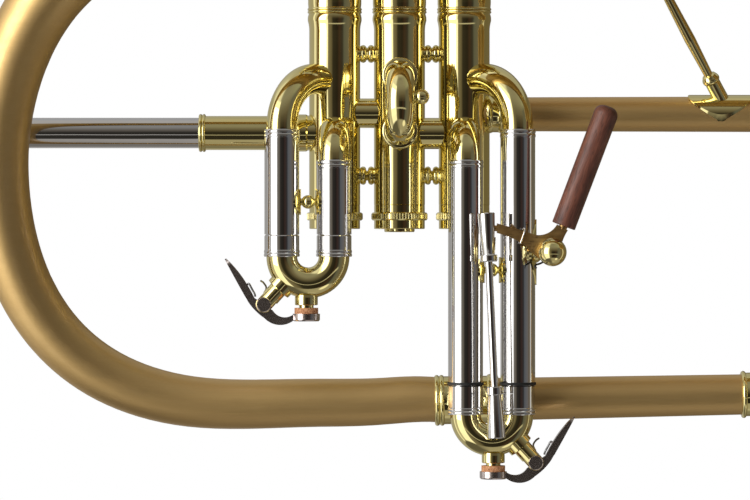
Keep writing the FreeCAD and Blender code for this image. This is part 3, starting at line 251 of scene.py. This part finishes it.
def rosewood():
    """Dark turned rosewood: its grain and its open pores run along the tilted grip."""
    material, graph, shader = new_material("rosewood_turned")
    place = place_vector(graph)
    tilt = graph.node("ShaderNodeMapping", {"Vector": place, "Rotation": (0.0, GRIP_TILT, 0.0)},
                      vector_type="TEXTURE").outputs[0]
    warp = graph.noise(graph.stretched(tilt, (220.0, 220.0, 45.0)), 1.0, 4.0)
    fine = graph.noise(graph.stretched(tilt, (1800.0, 1800.0, 110.0)), 1.0, 4.0, 0.7)
    grain = graph.math("ADD", graph.math("MULTIPLY", warp, 0.6), graph.math("MULTIPLY", fine, 0.4))
    colour = graph.ramp(grain, [(0.30, (0.035, 0.010, 0.006)), (0.45, (0.10, 0.030, 0.018)),
                                (0.58, (0.19, 0.062, 0.036)), (0.75, (0.30, 0.115, 0.07))])
    pores = graph.noise(graph.stretched(tilt, (2600.0, 2600.0, 260.0)), 1.0, 2.0)
    pits = graph.ramp(pores, [(0.56, 0.0), (0.66, 1.0)])
    colour = graph.mix(graph.math("MULTIPLY", pits, 0.55), colour, (0.02, 0.006, 0.004))
    normal = graph.bump(graph.math("SUBTRACT", grain, graph.math("MULTIPLY", pits, 0.5)), 0.00012, 0.6)
    set_inputs(graph, shader, {"Base Color": colour, "Roughness": 0.48, "Normal": normal,
                               "Coat Weight": 0.12, "Coat Roughness": 0.3})
    return material


def cork():
    """Pressed cork: reddish brown cells with darker specks."""
    material, graph, shader = new_material("cork_pad")
    place = place_vector(graph)
    cells = graph.node("ShaderNodeTexVoronoi", {"Vector": place, "Scale": 1500.0}).outputs["Distance"]
    speck = graph.noise(place, 900.0, 4.0)
    blend = graph.math("ADD", graph.math("MULTIPLY", cells, 0.5), graph.math("MULTIPLY", speck, 0.6))
    colour = graph.ramp(blend, [(0.25, (0.20, 0.075, 0.03)), (0.5, (0.58, 0.25, 0.11)),
                                (0.8, (0.74, 0.40, 0.20))])
    normal = graph.bump(cells, 0.00015, 0.6)
    set_inputs(graph, shader, {"Base Color": colour, "Roughness": 0.8, "Normal": normal})
    return material


def rubber():
    """Black rubber with a fine grain."""
    material, graph, shader = new_material("black_rubber")
    speck = graph.noise(place_vector(graph), 2500.0, 3.0)
    colour = graph.ramp(speck, [(0.3, 0.008), (0.7, 0.022)])
    set_inputs(graph, shader, {"Base Color": colour, "Roughness": 0.55,
                               "Normal": graph.bump(speck, 0.00002)})
    return material


def spring_steel():
    """Drawn steel wire, slightly mottled."""
    material, graph, shader = new_material("spring_steel")
    speck = graph.noise(place_vector(graph), 1200.0, 3.0)
    colour = graph.ramp(speck, [(0.3, (0.22, 0.22, 0.23)), (0.7, (0.42, 0.42, 0.43))])
    set_inputs(graph, shader, {"Base Color": colour, "Metallic": 1.0, "Roughness": 0.3,
                               "Normal": graph.bump(speck, 0.00002)})
    return material


def aged_brass():
    """Bare brass that has darkened in patches, with fine scratches."""
    material, graph, shader = new_material("aged_brass")
    place = place_vector(graph)
    patch = graph.noise(place, 160.0, 5.0, 0.6)
    scratch = graph.noise(graph.stretched(place, (400.0, 400.0, 3200.0)), 1.0, 4.0, 0.7)
    colour = graph.ramp(patch, [(0.30, (0.42, 0.24, 0.09)), (0.52, (0.58, 0.36, 0.14)),
                                (0.72, (0.72, 0.48, 0.20))])
    rough = graph.node("ShaderNodeMapRange", {0: scratch, 1: 0.3, 2: 0.7, 3: 0.26, 4: 0.46})
    set_inputs(graph, shader, {"Base Color": colour, "Metallic": 1.0, "Roughness": rough.outputs[0],
                               "Normal": graph.bump(scratch, 0.00003, 0.7)})
    return material


def pearl():
    """Mother of pearl: pale, cloudy and softly banded."""
    material, graph, shader = new_material("pearl_inlay")
    place = place_vector(graph)
    cloud = graph.noise(graph.stretched(place, (260.0, 90.0, 90.0)), 1.0, 4.0)
    bands = graph.noise(graph.stretched(place, (900.0, 220.0, 220.0)), 1.0, 3.0, 0.6)
    colour = graph.ramp(cloud, [(0.32, (0.70, 0.74, 0.76)), (0.5, (0.84, 0.82, 0.78)),
                                (0.68, (0.82, 0.74, 0.74))])
    colour = graph.mix(graph.math("MULTIPLY", bands, 0.4), colour, (0.62, 0.72, 0.70))
    set_inputs(graph, shader, {"Base Color": colour, "Roughness": 0.18, "Coat Weight": 0.5,
                               "Coat Roughness": 0.05, "Normal": graph.bump(bands, 0.00002)})
    return material


def felt():
    """White felt: matted fibres in soft tufts."""
    material, graph, shader = new_material("white_felt")
    place = place_vector(graph)
    fibres = graph.noise(place, 2600.0, 5.0, 0.7)
    tufts = graph.noise(place, 700.0, 3.0)
    blend = graph.math("ADD", graph.math("MULTIPLY", fibres, 0.5), graph.math("MULTIPLY", tufts, 0.5))
    colour = graph.ramp(blend, [(0.3, (0.52, 0.50, 0.45)), (0.7, (0.78, 0.76, 0.70))])
    set_inputs(graph, shader, {"Base Color": colour, "Roughness": 0.95, "Sheen Weight": 0.3,
                               "Normal": graph.bump(fibres, 0.0002, 0.8)})
    return material


MATERIALS = {
    "lacquered_brass": polished_metal("lacquered_brass_polished", BRASS, BRASS_TINT, 0.035, 0.075),
    "nickel_silver": polished_metal("nickel_silver_polished", NICKEL, NICKEL_TINT, 0.03, 0.07),
    "satin_brass": satin_metal("satin_brass_straight", SATIN, SATIN_TINT, 0.42, 0.54, (1, 0, 0)),
    "spring_steel": spring_steel(),
    "rosewood": rosewood(),
    "cork": cork(),
    "black_rubber": rubber(),
    "aged_brass": aged_brass(),
}
worn_nickel = polished_metal("nickel_worn", WORN_NICKEL, WORN_NICKEL_TINT, 0.20, 0.25, (0.2, 0.2, 0.2),
                             0.00003)


def dress(node, material):
    """Give a CAD node one material all over."""
    mesh = NODES[node].data
    if not mesh.materials:
        mesh.materials.append(material)
    for index in range(len(mesh.materials)):
        mesh.materials[index] = material


def round_edges(node, width):
    """Break a plate's sharp edges, so that they catch the light."""
    bevel = NODES[node].modifiers.new("broken_edges", "BEVEL")
    bevel.width = width * MM
    bevel.segments = 3
    bevel.limit_method = "ANGLE"
    bevel.angle_limit = EDGE_ANGLE


for part in frame["record"]["subparts"]:
    dress(part["node"], MATERIALS[part["material_slot"]])

for number in (1, 3):
    dress(f"water_key_{number}_lever", worn_nickel)
    dress(f"water_key_{number}_screw", worn_nickel)
    round_edges(f"water_key_{number}_lever", KEY_EDGE)
round_edges("trigger_lever", LEVER_EDGE)


# ---------------------------------------------------------------- small added pieces
def add_piece(name, points, faces, material, body):
    """A mesh from points in mm, shown with the body that carries it."""
    mesh = bpy.data.meshes.new(name)
    mesh.from_pydata([Vector(point) * MM for point in points], [], faces)
    mesh.materials.append(material)
    for polygon in mesh.polygons:
        polygon.use_smooth = True
    mesh.set_sharp_from_angle(angle=SMOOTH_ANGLE)
    piece = bpy.data.objects.new(name, mesh)
    SCENE.collection.objects.link(piece)
    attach(piece, body)
    return piece


def turned_piece(name, outline, centre, material, body, segments=72):
    """An outline of (height, radius) points turned round a vertical line."""
    points = []
    for height, radius in outline:
        for step in range(segments):
            angle = 2 * math.pi * step / segments
            points.append((centre[0] + radius * math.cos(angle), centre[1] + radius * math.sin(angle),
                           height))
    faces = []
    for row in range(len(outline)):
        below = row * segments
        above = (row + 1) % len(outline) * segments
        for step in range(segments):
            after = (step + 1) % segments
            faces.append((below + step, below + after, above + after, above + step))
    return add_piece(name, points, faces, material, body)


def smooth_path(points, steps=6):
    """A Catmull-Rom curve through the points."""
    path = [Vector(point) for point in points]
    ends = [2 * path[0] - path[1]] + path + [2 * path[-1] - path[-2]]
    curve = []
    for index in range(1, len(ends) - 2):
        a, b, c, d = ends[index - 1:index + 3]
        for step in range(steps):
            t = step / steps
            curve.append(0.5 * (2 * b + (c - a) * t + (2 * a - 5 * b + 4 * c - d) * t ** 2
                                + (3 * b - a - 3 * c + d) * t ** 3))
    return curve + [path[-1]]


def wire_piece(name, points, radius, material, body, sides=12):
    """A round wire along a smooth path, closed at both ends."""
    path = smooth_path(points)
    side = (path[1] - path[0]).orthogonal().normalized()
    mesh_points = []
    for index, place in enumerate(path):
        ahead = path[min(index + 1, len(path) - 1)] - path[max(index - 1, 0)]
        ahead.normalize()
        side = (side - ahead * side.dot(ahead)).normalized()
        other = ahead.cross(side)
        for step in range(sides):
            angle = 2 * math.pi * step / sides
            mesh_points.append(place + radius * (side * math.cos(angle) + other * math.sin(angle)))
    faces = [tuple(reversed(range(sides)))]
    for index in range(len(path) - 1):
        for step in range(sides):
            after = (step + 1) % sides
            first = index * sides
            second = first + sides
            faces.append((first + step, first + after, second + after, second + step))
    faces.append(tuple((len(path) - 1) * sides + step for step in range(sides)))
    return add_piece(name, mesh_points, faces, material, body)


def button_dressing():
    """Pearl inlays in the finger buttons and felt rings on the top caps."""
    shell = pearl()
    wool = felt()
    for number, x in enumerate(VALVE_X, 1):
        dome = [(115.72, 0.01), (115.72, 5.62), (116.75, 5.62), (117.05, 5.2), (117.25, 3.6),
                (117.35, 1.8), (117.38, 0.01)]
        turned_piece(f"button_inlay_{number}", dome, (x, 0.0), shell, f"valve_{number}")
        ring = [(92.02, 2.75), (92.02, 6.4), (92.4, 6.75), (93.7, 6.75), (94.2, 6.3), (94.3, 3.0),
                (94.0, 2.75)]
        turned_piece(f"cap_felt_{number}", ring, (x, 0.0), wool, "instrument")


def piston_springs():
    """The springs under the pistons, made again here as steel coils in place of the CAD springs, which
    are hidden.
    """
    length = SPRING_HEAD - SPRING_FOOT
    for number, x in enumerate(VALVE_X, 1):
        points = []
        for step in range(8 * SPRING_TURNS + 1):
            angle = math.radians(45.0 * step)
            share = step / (8 * SPRING_TURNS)
            points.append((x + SPRING_R * math.cos(angle), SPRING_R * math.sin(angle),
                           SPRING_FOOT + SPRING_WIRE + share * (length - 2 * SPRING_WIRE)))
        spring = wire_piece(f"coil_spring_{number}", points, SPRING_WIRE, MATERIALS["spring_steel"],
                            "instrument", sides=10)
        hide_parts(f"piston_spring_{number}")
        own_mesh(spring)


def key_springs():
    """On each water key, a wire round the hinge pin and up the post, and a clip on the touch blade."""
    for side, slide, key, pin_x, pin_z in KEY_PINS:
        depth = LEG_PLANE + KEY_COIL_SETBACK
        turns = []
        for step in range(14):
            angle = math.radians(-30.0 + 45.0 * step)
            turns.append((pin_x - side * KEY_COIL_R * math.cos(angle), depth + 0.11 * step,
                          pin_z + KEY_COIL_R * math.sin(angle)))
        leg = [(pin_x + side * 0.2, depth + 1.3, pin_z + 4.0),
               (pin_x - side * 0.7, depth, pin_z + 6.3),
               (pin_x + side * 0.3, depth - 1.4, pin_z + 8.2),
               (pin_x + side * 1.4, depth - 2.2, pin_z + 9.0)]
        number = "1" if side < 0 else "3"
        wire_piece(f"key_spring_{number}", turns + leg, KEY_WIRE, MATERIALS["spring_steel"], slide)
        front = LEG_PLANE - CLIP_STAND
        clip = [(pin_x + side * 3.3, front + 0.6, pin_z + 3.1),
                (pin_x + side * 3.6, front, pin_z + 4.2),
                (pin_x + side * 4.6, front, pin_z + 6.0),
                (pin_x + side * 5.7, front, pin_z + 7.9),
                (pin_x + side * 6.6, front + 0.6, pin_z + 7.2)]
        wire_piece(f"key_clip_{number}", clip, CLIP_WIRE, MATERIALS["spring_steel"], key)


def trigger_wires():
    """The two ends of the trigger's spring: one hooked over the lever's arm, one below the hub."""
    over = [(46.2, -33.4, -40.9), (46.7, -34.6, -40.5), (46.9, -36.3, -40.9), (46.6, -36.9, -42.2),
            (45.9, -36.9, -44.2), (45.2, -36.9, -46.1)]
    wire_piece("lever_spring_hook", over, CLIP_WIRE, MATERIALS["nickel_silver"], "trigger")
    under = [(54.0, -27.6, -53.2), (52.6, -29.6, -53.8), (51.2, -31.2, -54.2), (50.8, -32.0, -54.9),
             (51.3, -32.6, -55.4)]
    wire_piece("lever_spring_foot", under, CLIP_WIRE, MATERIALS["black_rubber"], "instrument")


button_dressing()
piston_springs()
key_springs()
trigger_wires()


# ---------------------------------------------------------------- light and floor
def at(bearing):
    """Degrees round from the camera's side, negative to the left, as a place on a ramp."""
    return bearing / 360.0 + 0.5


def up(elevation):
    """Degrees above the horizon as a place on a ramp."""
    return elevation / 180.0 + 0.5


def look_angles(graph, direction):
    """A direction's bearing and elevation, both as places on a ramp."""
    parts = graph.node("ShaderNodeSeparateXYZ", {0: direction})
    back = graph.math("MULTIPLY", parts.outputs["Y"], -1.0)
    bearing = graph.math("ARCTAN2", parts.outputs["X"], back)
    turn = graph.math("ADD", graph.math("DIVIDE", bearing, 2 * math.pi), 0.5)
    slope = graph.math("ARCSINE", parts.outputs["Z"])
    rise = graph.math("ADD", graph.math("DIVIDE", slope, math.pi), 0.5)
    return turn, rise


def room_colours(graph, turn):
    """What stands round the object: pale on the left, dim in front and warm on the right."""
    return graph.ramp(turn, [
        (0.0, BACKDROP), (at(-106), BACKDROP), (at(-103), 1.2), (at(-97), 1.2),
        (at(-94), (0.62, 0.60, 0.56)), (at(-76), (0.55, 0.53, 0.50)), (at(-72), 1.3), (at(-32), 1.3),
        (at(-29), (0.24, 0.22, 0.19)), (at(-14), (0.15, 0.13, 0.10)), (at(-8), (0.035, 0.032, 0.027)),
        (at(12), (0.022, 0.018, 0.015)), (at(22), (0.05, 0.03, 0.024)), (at(36), (0.04, 0.038, 0.038)),
        (at(44), (0.12, 0.13, 0.14)), (at(66), (0.17, 0.16, 0.15)), (at(76), (0.16, 0.13, 0.09)),
        (at(86), (0.20, 0.17, 0.12)), (at(90), (0.75, 0.72, 0.65)), (at(96), (0.75, 0.72, 0.65)),
        (at(100), WARM_SIDE), (1.0, WARM_SIDE)])


def ceiling_colours(graph, turn):
    """The ceiling's slopes, brightest on the left."""
    return graph.ramp(turn, [
        (0.0, 0.42), (at(-130), 0.60), (at(-100), 0.95), (at(-45), 0.90), (at(-30), (0.34, 0.34, 0.32)),
        (at(-12), (0.14, 0.15, 0.16)), (at(18), (0.16, 0.16, 0.17)), (at(45), (0.30, 0.31, 0.27)),
        (at(90), (0.42, 0.42, 0.38)), (1.0, 0.42)])


def table_colours(graph, turn, rise):
    """The table below, shaded on the left and behind."""
    table = graph.ramp(rise, [(up(-84), (0.58, 0.56, 0.53)), (up(-76), (0.44, 0.41, 0.37)),
                              (up(-50), (0.42, 0.40, 0.37))])
    shade = graph.ramp(turn, [(0.0, 0.55), (at(-120), 0.30), (at(-40), 0.30), (at(-5), 0.95),
                              (at(60), 1.0), (1.0, 0.55)])
    return graph.mix(1.0, table, shade, "MULTIPLY")


def studio_colours(graph, direction):
    """What the metal sees in each direction; later mixes lie over earlier ones."""
    turn, rise = look_angles(graph, direction)
    above = graph.ramp(rise, [(up(26), 0.0), (up(36), 1.0)])
    sky = graph.mix(above, room_colours(graph, turn), ceiling_colours(graph, turn))
    overhead = graph.ramp(rise, [(up(64), 0.0), (up(76), 1.0)])
    sky = graph.mix(overhead, sky, OVERHEAD)
    front = graph.ramp(turn, [(at(-36), 0.0), (at(-24), 1.0), (at(40), 1.0), (at(52), 0.0)])
    lift = graph.ramp(rise, [(up(2), 0.0), (up(20), 1.0), (up(60), 1.0), (up(72), 0.0)])
    wall = graph.ramp(rise, [(up(18), (0.17, 0.15, 0.125)), (up(45), (0.32, 0.31, 0.29))])
    sky = graph.mix(graph.math("MULTIPLY", front, graph.math("MULTIPLY", lift, 0.8)), sky, wall)
    edge = graph.ramp(rise, [(up(-18), 0.0), (up(-16.4), 1.0), (up(-14.6), 1.0), (up(-13), 0.0)])
    sky = graph.mix(graph.math("MULTIPLY", front, edge), sky, TABLE_EDGE)
    below = graph.ramp(rise, [(up(-49), 1.0), (up(-45), 0.0)])
    sky = graph.mix(below, sky, table_colours(graph, turn, rise))
    wide = graph.ramp(turn, [(at(-76), 0.0), (at(-72), 1.0), (at(-32), 1.0), (at(-29), 0.0)])
    tall = graph.ramp(rise, [(up(-33), 0.0), (up(-28), 1.0), (up(40), 1.0), (up(44), 0.0)])
    sky = graph.mix(graph.math("MULTIPLY", wide, tall), sky, SOFTBOX)
    toward = graph.node("ShaderNodeVectorMath", {0: direction, 1: SECOND_LAMP},
                        operation="DOT_PRODUCT")
    faint, full = SECOND_LAMP_EDGE
    lamp = graph.ramp(toward.outputs["Value"], [(faint, 0.0), (full, 1.0)])
    return graph.mix(lamp, sky, SECOND_LAMP_COLOUR)


def make_world():
    """A product studio, which the metal reflects and the camera sees as plain white."""
    world = bpy.data.worlds.new("studio")
    SCENE.world = world
    world.use_nodes = True
    world.node_tree.nodes.clear()
    graph = Graph(world.node_tree)
    direction = graph.node("ShaderNodeTexCoord").outputs["Generated"]
    sky = studio_colours(graph, direction)
    seen = graph.node("ShaderNodeLightPath").outputs["Is Camera Ray"]
    sky = graph.mix(seen, sky, CAMERA_BACKGROUND)
    background = graph.node("ShaderNodeBackground", {"Color": sky, "Strength": 1.0})
    output = graph.node("ShaderNodeOutputWorld")
    graph.tree.links.new(background.outputs[0], output.inputs["Surface"])


def make_floor():
    """A pale round floor that the metal doesn't mirror."""
    bpy.ops.mesh.primitive_circle_add(vertices=96, radius=FLOOR_RADIUS, fill_type="NGON",
                                      location=(0.0, 0.0, FLOOR_Z))
    floor = bpy.context.object
    floor.name = "studio_floor"
    material, graph, shader = new_material("pale_floor")
    speck = graph.noise(place_vector(graph), 3.0, 2.0)
    colour = graph.ramp(speck, [(0.3, 0.84), (0.7, 0.87)])
    set_inputs(graph, shader, {"Base Color": colour, "Roughness": 0.9})
    floor.data.materials.append(material)
    floor.visible_glossy = False


def make_key_light():
    """A soft light on the left, above and in front of the object."""
    data = bpy.data.lights.new("key_softbox", "AREA")
    data.shape = "RECTANGLE"
    data.size, data.size_y = KEY_LIGHT_SIZE
    data.energy = KEY_LIGHT_POWER
    light = bpy.data.objects.new("key_softbox", data)
    SCENE.collection.objects.link(light)
    light.location = KEY_LIGHT_PLACE
    aim = Vector(KEY_LIGHT_AIM) - Vector(KEY_LIGHT_PLACE)
    light.rotation_euler = aim.to_track_quat("-Z", "Y").to_euler()


make_world()
make_floor()
make_key_light()

SCENE.view_settings.view_transform = "Standard"
